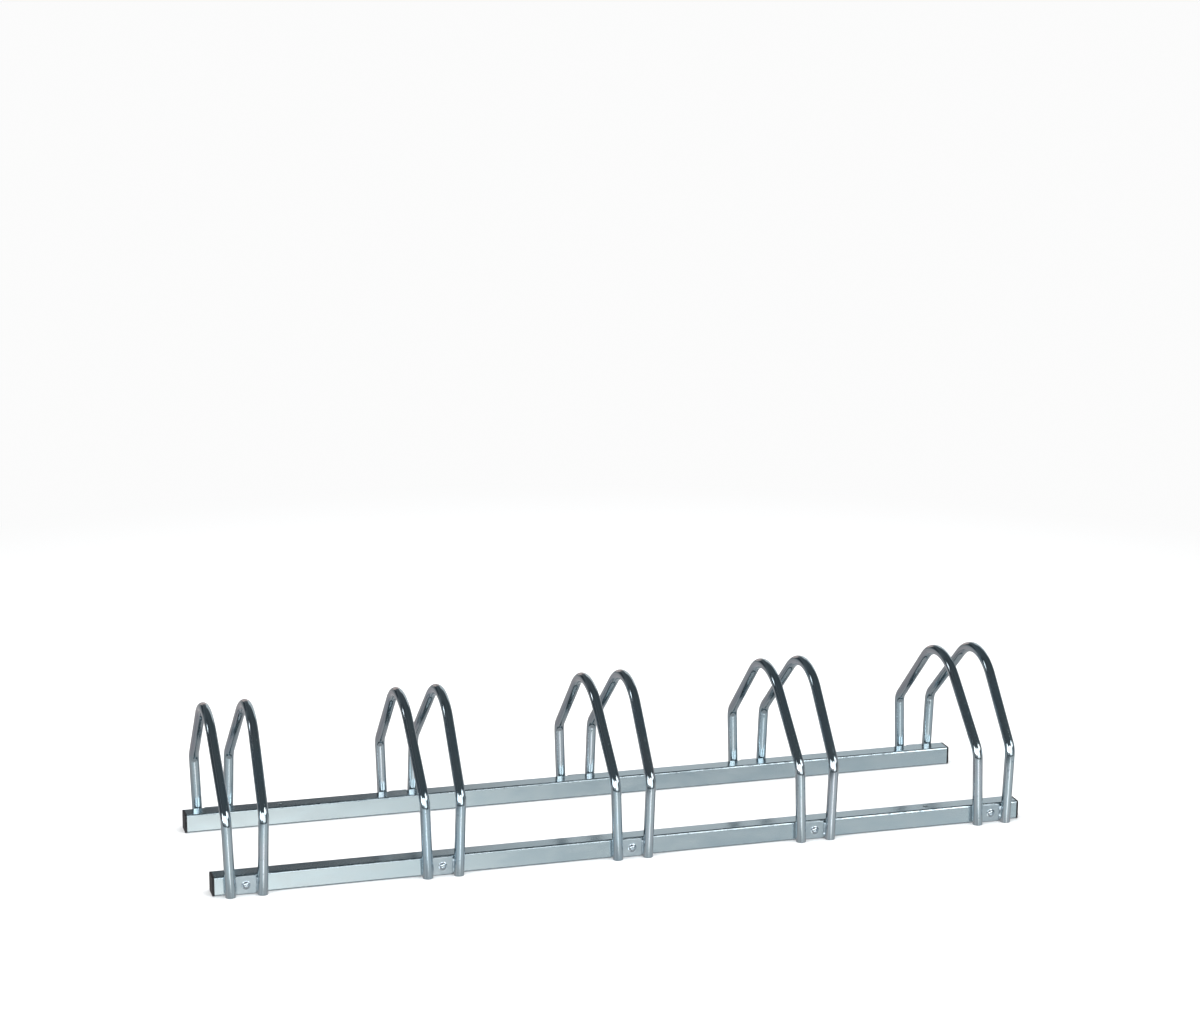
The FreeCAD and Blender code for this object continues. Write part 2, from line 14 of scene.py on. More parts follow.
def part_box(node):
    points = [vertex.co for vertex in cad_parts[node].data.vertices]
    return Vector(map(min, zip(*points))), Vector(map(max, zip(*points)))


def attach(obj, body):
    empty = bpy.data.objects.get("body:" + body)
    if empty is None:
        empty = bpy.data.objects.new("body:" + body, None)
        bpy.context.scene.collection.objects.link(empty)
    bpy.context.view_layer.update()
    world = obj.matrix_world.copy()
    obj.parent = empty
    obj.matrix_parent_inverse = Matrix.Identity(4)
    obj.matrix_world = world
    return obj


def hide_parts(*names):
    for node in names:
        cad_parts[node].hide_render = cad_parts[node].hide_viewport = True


bl_info = {
    "name": "Floor Bike Rack",
    "version": (1, 0, 0),
    "blender": (4, 5, 0),
    "location": "View3D > Sidebar > Bike Rack",
    "description": "Models and finishes the pieces of a floor bike rack for five wheels",
    "category": "Object",
}

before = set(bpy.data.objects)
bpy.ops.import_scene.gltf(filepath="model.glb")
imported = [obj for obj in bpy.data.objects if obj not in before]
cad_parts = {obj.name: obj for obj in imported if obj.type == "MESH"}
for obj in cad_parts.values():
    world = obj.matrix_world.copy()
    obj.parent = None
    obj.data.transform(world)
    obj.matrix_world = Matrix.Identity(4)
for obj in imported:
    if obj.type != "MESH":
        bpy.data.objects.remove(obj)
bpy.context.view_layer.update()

MM = 0.001
NEAR = 0.1 * MM  # Points nearer than this count as being in one place.
HOLDERS = range(1, 6)
SIDES = ("front", "rear")
HANDS = ("left", "right")
OUTWARD = {"front": -1, "rear": 1}
LEAN = {"left": -1, "right": 1}
PLATES = [(side, number) for side in SIDES for number in HOLDERS]
FACING = {"front": Matrix(), "rear": Matrix.Rotation(math.pi, 4, "Z")}
BODY = "root"

# Sizes that the frame gives.
RAIL_LOW, RAIL_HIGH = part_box("front_rail")
RAIL_SIZE = RAIL_HIGH.z - RAIL_LOW.z
RAIL_FACE = -RAIL_LOW.y
RACK_HALF_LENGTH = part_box("front_rail_cap_right")[1].x
PLATE_LOW, PLATE_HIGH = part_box("front_plate_1")
HOOP_LOW, HOOP_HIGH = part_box("hoop_1_left")


# ---------- sizes, colours

def length(name, description, millimetres):
    """Length property with its default in millimetres."""
    return bpy.props.FloatProperty(
        name=name, description=description, default=millimetres * MM, min=0, unit="LENGTH", precision=5
    )


def angle(name, description, degrees):
    """Angle property with its default in degrees."""
    return bpy.props.FloatProperty(
        name=name, description=description, default=math.radians(degrees), unit="ROTATION"
    )


def share(name, description, default):
    """Number from 0 to 1."""
    return bpy.props.FloatProperty(
        name=name, description=description, default=default, min=0, max=1, subtype="FACTOR"
    )


def colour(name, description, default):
    """Colour in linear light."""
    return bpy.props.FloatVectorProperty(
        name=name, description=description, default=default, min=0, max=1, size=3, subtype="COLOR"
    )


class RackSizes(bpy.types.PropertyGroup):
    """Real sizes of the pieces, the same as the frame's."""

    tube_diameter: length("Tube diameter", "Outside diameter of a hoop's tube", 16)
    tube_wall: length("Tube wall", "Wall of a hoop's tube", 1.2)
    tube_rim: length("Tube rim", "Rounding of the sawn ends of a hoop", 0.3)
    leg_spacing: length("Leg spacing", "Between the axes of a holder's legs at the ground", 48)
    splay: angle("Splay", "Outward lean of each hoop", 1.9)
    hoop_height: length("Hoop height", "Ground to the top of a hoop", 252)
    apex_radius: length("Top bend", "Bend radius at the top of a hoop, on the tube's axis", 88)
    apex_shift: length("Top shift", "Centre of the top bend in front of the middle", 8.5)
    knee_radius: length("Knee bend", "Bend radius of the knees, on the tube's axis", 28)
    front_leg: length("Front leg", "Straight length of a front leg", 111)
    rear_leg: length("Rear leg", "Straight length of a rear leg", 104)

    rail_wall: length("Rail wall", "Wall of the square tube", 1.5)
    rail_corner: length("Rail corner", "Outside corner radius of the square tube", 3)
    insert_hole: length("Insert hole", "Hole in a rail for a threaded insert", 9.1)
    fixing_hole: length("Fixing hole", "Hole down through a rail, for fixing the rack to the ground", 6.5)
    punched_rim: length("Punched rim", "Rounding of a fixing hole's upper rim", 0.8)
    fixing_distance: length("Fixing distance", "End of the rack to a rail's fixing hole", 155)

    cap_flange: length("Cap flange", "Thickness of a cap outside the tube", 3.5)
    cap_edge: length("Cap edge", "Rounding of a cap's outer face", 0.8)
    cap_depth: length("Cap depth", "Length of a cap's plug", 18)
    cap_rib_height: length("Rib height", "Height of the gripping ribs on a plug", 1.2)
    cap_rib_width: length("Rib width", "Thickness of a gripping rib", 1)
    cap_rib_pitch: length("Rib pitch", "Distance from rib to rib", 4.5)
    cap_wall: length("Plug wall", "Wall of a cap's hollow plug", 1.8)

    plate_corner: length("Plate corner", "Corner radius of a plate", 5)
    plate_edge: length("Plate edge", "Rounding of a plate's sheared edges", 1.4)
    plate_hole: length("Plate hole", "Screw hole in a plate", 6.6)

    screw_diameter: length("Screw diameter", "Thread diameter of a screw", 6)
    screw_length: length("Screw length", "Length of a screw under its head", 16)
    head_flange: length("Head flange", "Diameter of a screw head's flange", 13.6)
    head_flange_rim: length("Flange rim", "Thickness of the flange", 0.9)
    head_dome: length("Head dome", "Diameter of the domed part of the head", 10.5)
    head_height: length("Head height", "Height of the head", 3.3)
    head_flat: length("Head flat", "Diameter of the flat on top of the head", 5.6)
    head_crown: length("Head crown", "Radius of the dome", 4.5)
    head_edge: length("Head edge", "Rounding of a screw's edges", 0.12)
    socket_width: length("Socket", "Hexagon socket, across its flats", 4)
    socket_depth: length("Socket depth", "Depth of the socket", 2.1)

    weld_leg: length("Weld width", "Width of a weld bead on the plate", 3)
    weld_ripple: share("Weld ripples", "Height of a bead's ripples, as a share of its radius", 0.12)


class RackFinish(bpy.types.PropertyGroup):
    """Colours and roughness of the pieces."""

    tube_zinc: colour("Tube zinc", "Bright blue-passivated zinc of the hoops", (0.62, 0.70, 0.735))
    tube_roughness: share("Tube roughness", "Roughness of the hoops", 0.10)
    rail_zinc: colour("Rail zinc", "Zinc of the rails", (0.60, 0.69, 0.73))
    rail_roughness: share("Rail roughness", "Roughness of the rails", 0.19)
    plate_zinc: colour("Plate zinc", "Zinc of the plates", (0.56, 0.64, 0.675))
    plate_roughness: share("Plate roughness", "Roughness of the plates", 0.33)
    screw_zinc: colour("Screw zinc", "Zinc of the screws", (0.66, 0.72, 0.76))
    screw_roughness: share("Screw roughness", "Roughness of the screws", 0.14)
    insert_zinc: colour("Insert zinc", "Yellowish zinc of the threaded inserts", (0.62, 0.60, 0.50))
    weld_zinc: colour("Weld zinc", "Zinc over the weld beads", (0.66, 0.73, 0.77))
    plastic: colour("Cap plastic", "Black plastic of the end caps", (0.012, 0.012, 0.013))
    plastic_roughness: share("Plastic roughness", "Roughness of the end caps", 0.42)


class RackStudio(bpy.types.PropertyGroup):
    """Camera, floor and lights."""

    camera_place: bpy.props.FloatVectorProperty(
        name="Camera place", description="Where the camera stands", default=(-1.2067, -4.1079, 1.5399),
        size=3, subtype="TRANSLATION", unit="LENGTH",
    )
    camera_yaw: angle("Camera yaw", "Turn of the camera from +Y towards +X", 16.27)
    camera_pitch: angle("Camera pitch", "Tilt of the camera below the horizon", 13.5)
    camera_roll: angle("Camera roll", "Roll of the camera about its own axis", 0.31)
    camera_lens: bpy.props.FloatProperty(
        name="Lens", description="Focal length on a 36 mm sensor", default=84.82, unit="CAMERA"
    )
    floor_white: share("Floor white", "Brightness of the pale floor", 0.86)
    backdrop_white: share("Backdrop white", "Brightness of the floor far from the rack", 0.97)
    overhead_watts: bpy.props.FloatProperty(
        name="Overhead light", description="Power of the softbox over the rack", default=185, min=0,
        unit="POWER",
    )


# ---------- modelling helpers

CORNER_STEPS = 8


def settings():
    """The scene's three groups of properties: sizes, finish and studio."""
    scene = bpy.context.scene
    return scene.rack_sizes, scene.rack_finish, scene.rack_studio


def mode(name):
    """Go to object or edit mode."""
    bpy.ops.object.mode_set(mode=name)


def begin():
    """Object mode with nothing selected, ready for a new primitive."""
    if bpy.context.object and bpy.context.object.mode != "OBJECT":
        mode("OBJECT")
    bpy.ops.object.select_all(action="DESELECT")


def settle(name):
    """Name the object at hand, and put its place and scale into its mesh."""
    piece = bpy.context.object
    if piece.mode != "OBJECT":
        mode("OBJECT")
    bpy.ops.object.transform_apply(location=True, rotation=True, scale=True)
    piece.name = piece.data.name = name
    return piece


def pick(kind, test):
    """Select, in edit mode, the vertices, edges or faces whose corners all pass a test."""
    mode("EDIT")
    bpy.ops.mesh.select_mode(type=kind)
    bpy.ops.mesh.select_all(action="DESELECT")
    mode("OBJECT")
    mesh = bpy.context.object.data
    elements = {"VERT": mesh.vertices, "EDGE": mesh.edges, "FACE": mesh.polygons}[kind]
    for element in elements:
        corners = [element.index] if kind == "VERT" else element.vertices
        element.select = all(test(mesh.vertices[corner].co) for corner in corners)
    mode("EDIT")


def extrude(x=0.0, y=0.0, z=0.0):
    """Extrude what is selected along a vector."""
    bpy.ops.mesh.extrude_region_move(TRANSFORM_OT_translate={"value": (x, y, z)})


def grow(x=1.0, y=1.0, z=1.0):
    """Scale what is selected about its own middle."""
    bpy.ops.transform.resize(value=(x, y, z))


def finish_with(piece, kind, **values):
    """Add a modifier to a piece and apply it."""
    modifier = piece.modifiers.new(kind.title(), kind)
    for name, setting in values.items():
        setattr(modifier, name, setting)
    bpy.ops.object.modifier_apply(modifier=modifier.name)


def take_up(piece):
    """Select one piece alone and make it active."""
    begin()
    piece.select_set(True)
    bpy.context.view_layer.objects.active = piece


def drill(piece, sides, diameter, depth, place=(0, 0, 0), turn=(math.pi / 2, 0, 0)):
    """Cut a straight hole with a number of sides through a piece, along Y unless it is turned."""
    begin()
    bpy.ops.mesh.primitive_cylinder_add(
        vertices=sides, radius=diameter / 2, depth=depth, location=place, rotation=turn
    )
    cutter = settle("drill")
    take_up(piece)
    finish_with(piece, "BOOLEAN", operation="DIFFERENCE", solver="EXACT", object=cutter)
    bpy.data.objects.remove(cutter)


def round_picked(width, segments, test):
    """Round the edges whose corners all pass a test."""
    pick("EDGE", test)
    bpy.ops.mesh.bevel(offset=width, segments=segments, affect="EDGES")


def round_corners(first_axis, second_axis, low, high, radius):
    """Round the four edges of a box that run along its third axis."""
    for first in (low[first_axis], high[first_axis]):
        for second in (low[second_axis], high[second_axis]):
            round_picked(radius, CORNER_STEPS, lambda corner: (
                abs(corner[first_axis] - first) < MM and abs(corner[second_axis] - second) < MM
            ))
    mode("OBJECT")


def round_edges(piece, width, segments=3, sharper_than=35):
    """Round every sharp edge of a piece and smooth its shading."""
    finish_with(
        piece, "BEVEL", width=width, segments=segments, limit_method="ANGLE",
        angle_limit=math.radians(sharper_than),
    )
    smooth(piece)


def smooth(piece, sharper_than=30):
    """Smooth shading, except over edges sharper than an angle."""
    take_up(piece)
    bpy.ops.object.shade_smooth_by_angle(angle=math.radians(sharper_than))


def flatten_shading(piece):
    """Let broad flat faces keep their true normals beside rounded edges."""
    finish_with(piece, "WEIGHTED_NORMAL", keep_sharp=True)


def face_outwards():
    """Merge doubles of the piece in edit mode and turn its faces outwards."""
    bpy.ops.mesh.select_all(action="SELECT")
    bpy.ops.mesh.remove_doubles(threshold=1e-6)
    bpy.ops.mesh.normals_make_consistent(inside=False)


def copy_of(master, name, matrix):
    """Copy of a piece with its own mesh, moved by a matrix."""
    piece = master.copy()
    piece.data = master.data.copy()
    piece.name = piece.data.name = name
    bpy.context.scene.collection.objects.link(piece)
    piece.matrix_world = matrix
    take_up(piece)
    bpy.ops.object.transform_apply(location=True, rotation=True, scale=True)
    return piece


def hand_over(piece, material, slot, *nodes):
    """Give a piece its finish in a material slot and its body, and hide the frame's nodes that it takes
    the place of.
    """
    piece.data.materials.clear()
    piece.data.materials.append(material)
    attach(piece, BODY)
    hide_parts(*nodes)


def plate_face(side, number):
    """Middle of the outer face of a plate."""
    low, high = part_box(f"{side}_plate_{number}")
    return (low.x + high.x) / 2, low.y if side == "front" else high.y, (low.z + high.z) / 2


# ---------- the hoops

TUBE_SIDES = 56
KNEE_STEPS = 12
APEX_STEPS = 32
SAMPLE_SPACING = 2 * MM


class HoopPath:
    """Axis of a hoop in the Y-Z plane: leg, knee, slope, top bend, slope, knee and leg, all tangent."""

    def __init__(self, sizes):
        radius = sizes.tube_diameter / 2
        lift = radius * math.sin(sizes.splay)
        self.reach = (HOOP_HIGH.y - HOOP_LOW.y) / 2 - radius
        self.knee, self.apex = sizes.knee_radius, sizes.apex_radius
        apex_z = (sizes.hoop_height - radius - lift) / math.cos(sizes.splay) - self.apex
        self.front_centre = Vector((self.knee - self.reach, sizes.front_leg))
        self.apex_centre = Vector((-sizes.apex_shift, apex_z))
        self.rear_centre = Vector((self.reach - self.knee, sizes.rear_leg))
        self.front_turn = self.touch(self.front_centre, self.knee, self.apex_centre, self.apex)
        self.rear_turn = self.touch(self.apex_centre, self.apex, self.rear_centre, self.knee)

    @staticmethod
    def touch(first, first_radius, second, second_radius):
        """Direction from both centres to the line that touches the two bends."""
        across = second - first
        return math.atan2(across.y, across.x) + math.acos((first_radius - second_radius) / across.length)

    @staticmethod
    def on_circle(centre, radius, turn):
        """Point of a bend at an angle from +Y."""
        return centre + radius * Vector((math.cos(turn), math.sin(turn)))

    def slopes(self):
        """Vectors of the front and the rear slope."""
        front = self.on_circle(self.apex_centre, self.apex, self.front_turn)
        front -= self.on_circle(self.front_centre, self.knee, self.front_turn)
        rear = self.on_circle(self.rear_centre, self.knee, self.rear_turn)
        rear -= self.on_circle(self.apex_centre, self.apex, self.rear_turn)
        return front, rear

    def samples(self):
        """Points along the axis with their headings and distances from the front foot."""
        front_slope, rear_slope = self.slopes()
        runs = (
            (Vector((-self.reach, 0)), Vector((0, self.front_centre.y))),
            (self.front_centre, self.knee, math.pi, self.front_turn),
            (self.on_circle(self.front_centre, self.knee, self.front_turn), front_slope),
            (self.apex_centre, self.apex, self.front_turn, self.rear_turn),
            (self.on_circle(self.apex_centre, self.apex, self.rear_turn), rear_slope),
            (self.rear_centre, self.knee, self.rear_turn, 0),
            (Vector((self.reach, self.rear_centre.y)), Vector((0, -self.rear_centre.y))),
        )
        travelled = 0
        for run in runs:
            straight = len(run) == 2
            run_length = run[1].length if straight else run[1] * abs(run[2] - run[3])
            count = max(2, round(run_length / SAMPLE_SPACING))
            for step in range(count + 1):
                part = step / count
                if straight:
                    point, heading = run[0] + part * run[1], run[1].normalized()
                else:
                    turn = run[2] + part * (run[3] - run[2])
                    point = self.on_circle(run[0], run[1], turn)
                    heading = Vector((math.sin(turn), -math.cos(turn)))
                yield point, heading, travelled + part * run_length
            travelled += run_length


def bend(centre, turn, steps):
    """Spin the open end of the tube about a bend's centre."""
    bpy.ops.mesh.spin(steps=steps, angle=turn, center=(0, centre.x, centre.y), axis=(1, 0, 0))


def model_hoop(sizes):
    """One upright hoop in the plane X = 0, drawn from foot to foot as a tube bender makes it."""
    path = HoopPath(sizes)
    front_slope, rear_slope = path.slopes()
    begin()
    bpy.ops.mesh.primitive_circle_add(
        vertices=TUBE_SIDES, radius=sizes.tube_diameter / 2, location=(0, -path.reach, 0)
    )
    hoop = settle("hoop_pattern")
    pick("VERT", lambda corner: True)
    extrude(z=path.front_centre.y)
    bend(path.front_centre, math.pi - path.front_turn, KNEE_STEPS)
    extrude(y=front_slope.x, z=front_slope.y)
    bend(path.apex_centre, path.front_turn - path.rear_turn, APEX_STEPS)
    extrude(y=rear_slope.x, z=rear_slope.y)
    bend(path.rear_centre, path.rear_turn, KNEE_STEPS)
    extrude(z=-path.rear_centre.y)
    face_outwards()
    mode("OBJECT")
    finish_with(hoop, "SOLIDIFY", thickness=sizes.tube_wall, offset=-1, use_even_offset=True)
    round_edges(hoop, sizes.tube_rim)
    return hoop


def note_tube_places(hoop, path):
    """Store each point's place on the unbent tube, so that drawing marks follow the bends."""
    samples = list(path.samples())
    places = []
    for vertex in hoop.data.vertices:
        spot = Vector((vertex.co.y, vertex.co.z))
        point, heading, travelled = min(samples, key=lambda sample: (sample[0] - spot).length_squared)
        offset = spot - point
        sideways = offset.x * heading.y - offset.y * heading.x
        places += (vertex.co.x, sideways, travelled + offset.dot(heading))
    attribute = hoop.data.attributes.new("unbent", "FLOAT_VECTOR", "POINT")
    attribute.data.foreach_set("vector", places)


class RACK_OT_hoops(bpy.types.Operator):
    """Bend the ten hoops and stand them on the ground, leaning apart in pairs"""

    bl_idname = "rack.hoops"
    bl_label = "Hoops"

    def execute(self, context):
        sizes, finish, _ = settings()
        zinc = tube_finish(finish)
        pattern = model_hoop(sizes)
        note_tube_places(pattern, HoopPath(sizes))
        lift = sizes.tube_diameter / 2 * math.sin(sizes.splay)
        for number in HOLDERS:
            for hand in HANDS:
                name = f"hoop_{number}_{hand}"
                foot_x = plate_face("front", number)[0] + LEAN[hand] * sizes.leg_spacing / 2
                lean = Matrix.Rotation(LEAN[hand] * sizes.splay, 4, "Y")
                hoop = copy_of(pattern, f"bent_{name}", Matrix.Translation((foot_x, 0, lift)) @ lean)
                hand_over(hoop, zinc, "zinc_tube", name)
        bpy.data.objects.remove(pattern)
        return {"FINISHED"}


# ---------- the rails and caps

RIB_PLAY = 0.1 * MM  # Between a cap's ribs and the bore of the tube.


class RACK_OT_rails(bpy.types.Operator):
    """Draw the two square tubes, with round corners, a wall and the holes for inserts and fixing"""

    bl_idname = "rack.rails"
    bl_label = "Rails"

    def execute(self, context):
        sizes, finish, _ = settings()
        zinc = rail_finish(finish)
        for side in SIDES:
            rail = self.model(side, sizes)
            hand_over(rail, zinc, "zinc_rail", f"{side}_rail")
        return {"FINISHED"}

    def model(self, side, sizes):
        """Open box with rounded long edges, thickened inwards and drilled for inserts and for fixing."""
        low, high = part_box(f"{side}_rail")
        centre, size = (low + high) / 2, high - low
        begin()
        bpy.ops.mesh.primitive_cube_add(size=1, location=centre, scale=size)
        rail = settle(f"square_tube_{side}")
        for end in (high.x, low.x):
            pick("FACE", lambda corner: abs(corner.x - end) < MM)
            bpy.ops.mesh.delete(type="FACE")
        round_corners(1, 2, low, high, sizes.rail_corner)
        finish_with(rail, "SOLIDIFY", thickness=sizes.rail_wall, offset=-1, use_even_offset=True)
        for number in HOLDERS:
            spot = (plate_face(side, number)[0], OUTWARD[side] * RAIL_FACE, centre.z)
            drill(rail, 40, sizes.insert_hole, RAIL_SIZE, spot)
        hole = Vector((-OUTWARD[side] * (RACK_HALF_LENGTH - sizes.fixing_distance), centre.y, centre.z))
        drill(rail, 32, sizes.fixing_hole, 2 * RAIL_SIZE, hole, turn=(0, 0, 0))
        self.round_rim(hole, high.z, sizes)
        smooth(rail)
        flatten_shading(rail)
        return rail

    def round_rim(self, hole, top, sizes):
        """Round the upper rim of the fixing hole, as a punch leaves it."""
        reach = sizes.fixing_hole / 2 + NEAR
        round_picked(sizes.punched_rim, 4, lambda corner: (
            top - corner.z < NEAR and (corner.xy - hole.xy).length < reach
        ))
        mode("OBJECT")


class RACK_OT_caps(bpy.types.Operator):
    """Mould the four plastic caps, with a rounded flange and a ribbed plug"""

    bl_idname = "rack.caps"
    bl_label = "End caps"

    def execute(self, context):
        sizes, finish, _ = settings()
        plastic = plastic_finish(finish)
        pattern = self.model(sizes)
        for side in SIDES:
            for end, turn in (("left", math.pi), ("right", 0)):
                node = f"{side}_rail_cap_{end}"
                low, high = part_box(node)
                rail_low, rail_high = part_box(f"{side}_rail")
                rail_end = rail_high.x if end == "right" else rail_low.x
                place = Matrix.Translation((rail_end, (low.y + high.y) / 2, (low.z + high.z) / 2))
                cap = copy_of(pattern, f"moulded_{node}", place @ Matrix.Rotation(turn, 4, "Z"))
                hand_over(cap, plastic, "black_plastic", node)
        bpy.data.objects.remove(pattern)
        return {"FINISHED"}

    def model(self, sizes):
        """Flange beyond X = 0 and a hollow ribbed plug behind it, centred on the X axis."""
        begin()
        bpy.ops.mesh.primitive_cube_add(
            size=1, location=(sizes.cap_flange / 2, 0, 0), scale=(sizes.cap_flange, RAIL_SIZE, RAIL_SIZE)
        )
        cap = settle("cap_pattern")
        half = Vector((0, RAIL_SIZE / 2, RAIL_SIZE / 2))
        round_corners(1, 2, -half, half, sizes.rail_corner)
        round_picked(sizes.cap_edge, 4, lambda corner: corner.x > sizes.cap_flange - NEAR)
        pick("FACE", lambda corner: corner.x < NEAR)
        bore = RAIL_SIZE - 2 * sizes.rail_wall
        plug = bore - 2 * sizes.cap_rib_height
        rib = (bore - RIB_PLAY) / plug
        bpy.ops.mesh.inset(thickness=(RAIL_SIZE - plug) / 2)
        stretches = (sizes.cap_rib_pitch, sizes.cap_rib_width, sizes.cap_rib_pitch - sizes.cap_rib_width)
        travelled = 0
        for stretch in stretches + stretches[1:] + stretches[1:2]:
            ribbed = stretch == sizes.cap_rib_width
            if ribbed:
                extrude()
                grow(y=rib, z=rib)
            extrude(x=-stretch)
            if ribbed:
                extrude()
                grow(y=1 / rib, z=1 / rib)
            travelled += stretch
        extrude(x=travelled - sizes.cap_depth)
        bpy.ops.mesh.inset(thickness=sizes.cap_wall)
        extrude(x=sizes.cap_depth)
        mode("OBJECT")
        smooth(cap)
        flatten_shading(cap)
        return cap


# ---------- plates, screws, inserts, welds

class RACK_OT_plates(bpy.types.Operator):
    """Shear the ten plates that join each pair of legs, and drill them"""

    bl_idname = "rack.plates"
    bl_label = "Plates"

    def execute(self, context):
        sizes, finish, _ = settings()
        zinc = plate_finish(finish)
        pattern = self.model(sizes)
        for side, number in PLATES:
            node = f"{side}_plate_{number}"
            low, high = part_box(node)
            place = Matrix.Translation((low + high) / 2)
            plate = copy_of(pattern, f"sheared_{node}", place @ FACING[side])
            hand_over(plate, zinc, "zinc_plate", node)
        bpy.data.objects.remove(pattern)
        return {"FINISHED"}

    def model(self, sizes):
        """Plate with round corners and a screw hole, centred on the origin."""
        size = PLATE_HIGH - PLATE_LOW
        begin()
        bpy.ops.mesh.primitive_cube_add(size=1, scale=size)
        plate = settle("plate_pattern")
        round_corners(0, 2, -size / 2, size / 2, sizes.plate_corner)
        drill(plate, 40, sizes.plate_hole, 3 * size.y)
        round_edges(plate, sizes.plate_edge)
        flatten_shading(plate)
        return plate


SCREW_SIDES = 48
CROWN_STEPS = 6
SCREW_TIP = 1 * MM  # Length and width of the bevel at a screw's end.


class RACK_OT_screws(bpy.types.Operator):
    """Turn the flanged button-head screws and set one in each plate"""

    bl_idname = "rack.screws"
    bl_label = "Screws"

    def execute(self, context):
        sizes, finish, _ = settings()
        zinc = screw_finish(finish)
        pattern = self.model(sizes)
        chance = random.Random(7)
        for side, number in PLATES:
            place = Matrix.Translation(plate_face(side, number)) @ FACING[side]
            tightened = Matrix.Rotation(chance.uniform(0, math.pi / 3), 4, "Y")
            screw = copy_of(pattern, f"screw_{side}_{number}", place @ tightened)
            hand_over(screw, zinc, "zinc_screw", f"{side}_screws")
        bpy.data.objects.remove(pattern)
        return {"FINISHED"}

    def model(self, sizes):
        """Screw along the Y axis, its head before Y = 0 and its shank behind."""
        begin()
        bpy.ops.mesh.primitive_circle_add(
            vertices=SCREW_SIDES, radius=sizes.head_flange / 2, fill_type="NGON",
            rotation=(math.pi / 2, 0, 0),
        )
        screw = settle("screw_pattern")
        pick("FACE", lambda corner: True)
        extrude(y=-sizes.head_flange_rim)
        width = sizes.head_flange
        for diameter, rise in self.crown(sizes):
            extrude(y=-rise)
            grow(x=diameter / width, z=diameter / width)
            width = diameter
        pick("FACE", lambda corner: corner.y > -NEAR)
        bpy.ops.mesh.inset(thickness=(sizes.head_flange - sizes.screw_diameter) / 2)
        extrude(y=sizes.screw_length - SCREW_TIP)
        extrude(y=SCREW_TIP)
        tip = 1 - 2 * SCREW_TIP / sizes.screw_diameter
        grow(x=tip, z=tip)
        face_outwards()
        over_corners = sizes.socket_width / math.cos(math.pi / 6)
        drill(screw, 6, over_corners, 2 * sizes.socket_depth, (0, -sizes.head_height, 0))
        round_edges(screw, sizes.head_edge, segments=2)
        return screw

    def crown(self, sizes):
        """Diameters and rises that lead from the flange over its step and the dome to the flat."""
        yield sizes.head_dome, 0
        low = Vector((sizes.head_dome / 2, sizes.head_flange_rim))
        top = Vector((sizes.head_flat / 2, sizes.head_height))
        chord = top - low
        inwards = Vector((-chord.y, chord.x)).normalized()
        centre = (low + top) / 2 + inwards * math.sqrt(sizes.head_crown ** 2 - chord.length_squared / 4)
        first = math.atan2(low.y - centre.y, low.x - centre.x)
        last = math.atan2(top.y - centre.y, top.x - centre.x)
        height = low.y
        for step in range(1, CROWN_STEPS + 1):
            turn = first + (last - first) * step / CROWN_STEPS
            spot = centre + sizes.head_crown * Vector((math.cos(turn), math.sin(turn)))
            yield 2 * spot.x, spot.y - height
            height = spot.y


class RACK_OT_inserts(bpy.types.Operator):
    """Give the threaded inserts in the rails' walls their finish"""

    bl_idname = "rack.inserts"
    bl_label = "Inserts"

    def execute(self, context):
        finish = settings()[1]
        zinc = insert_finish(finish)
        for side in SIDES:
            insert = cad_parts[f"{side}_inserts"]
            insert.data.materials.clear()
            insert.data.materials.append(zinc)
        return {"FINISHED"}


BEAD_SIDES = 20
BEAD_RINGS = 30
BEAD_RADIUS = 0.72  # Of the bead's width.
BEAD_SETBACK = 0.35  # Of the bead's width, from the leg towards the plate's middle.
LUMPS = 5
LUMP_LENGTH = 0.12  # Of the bead's length.


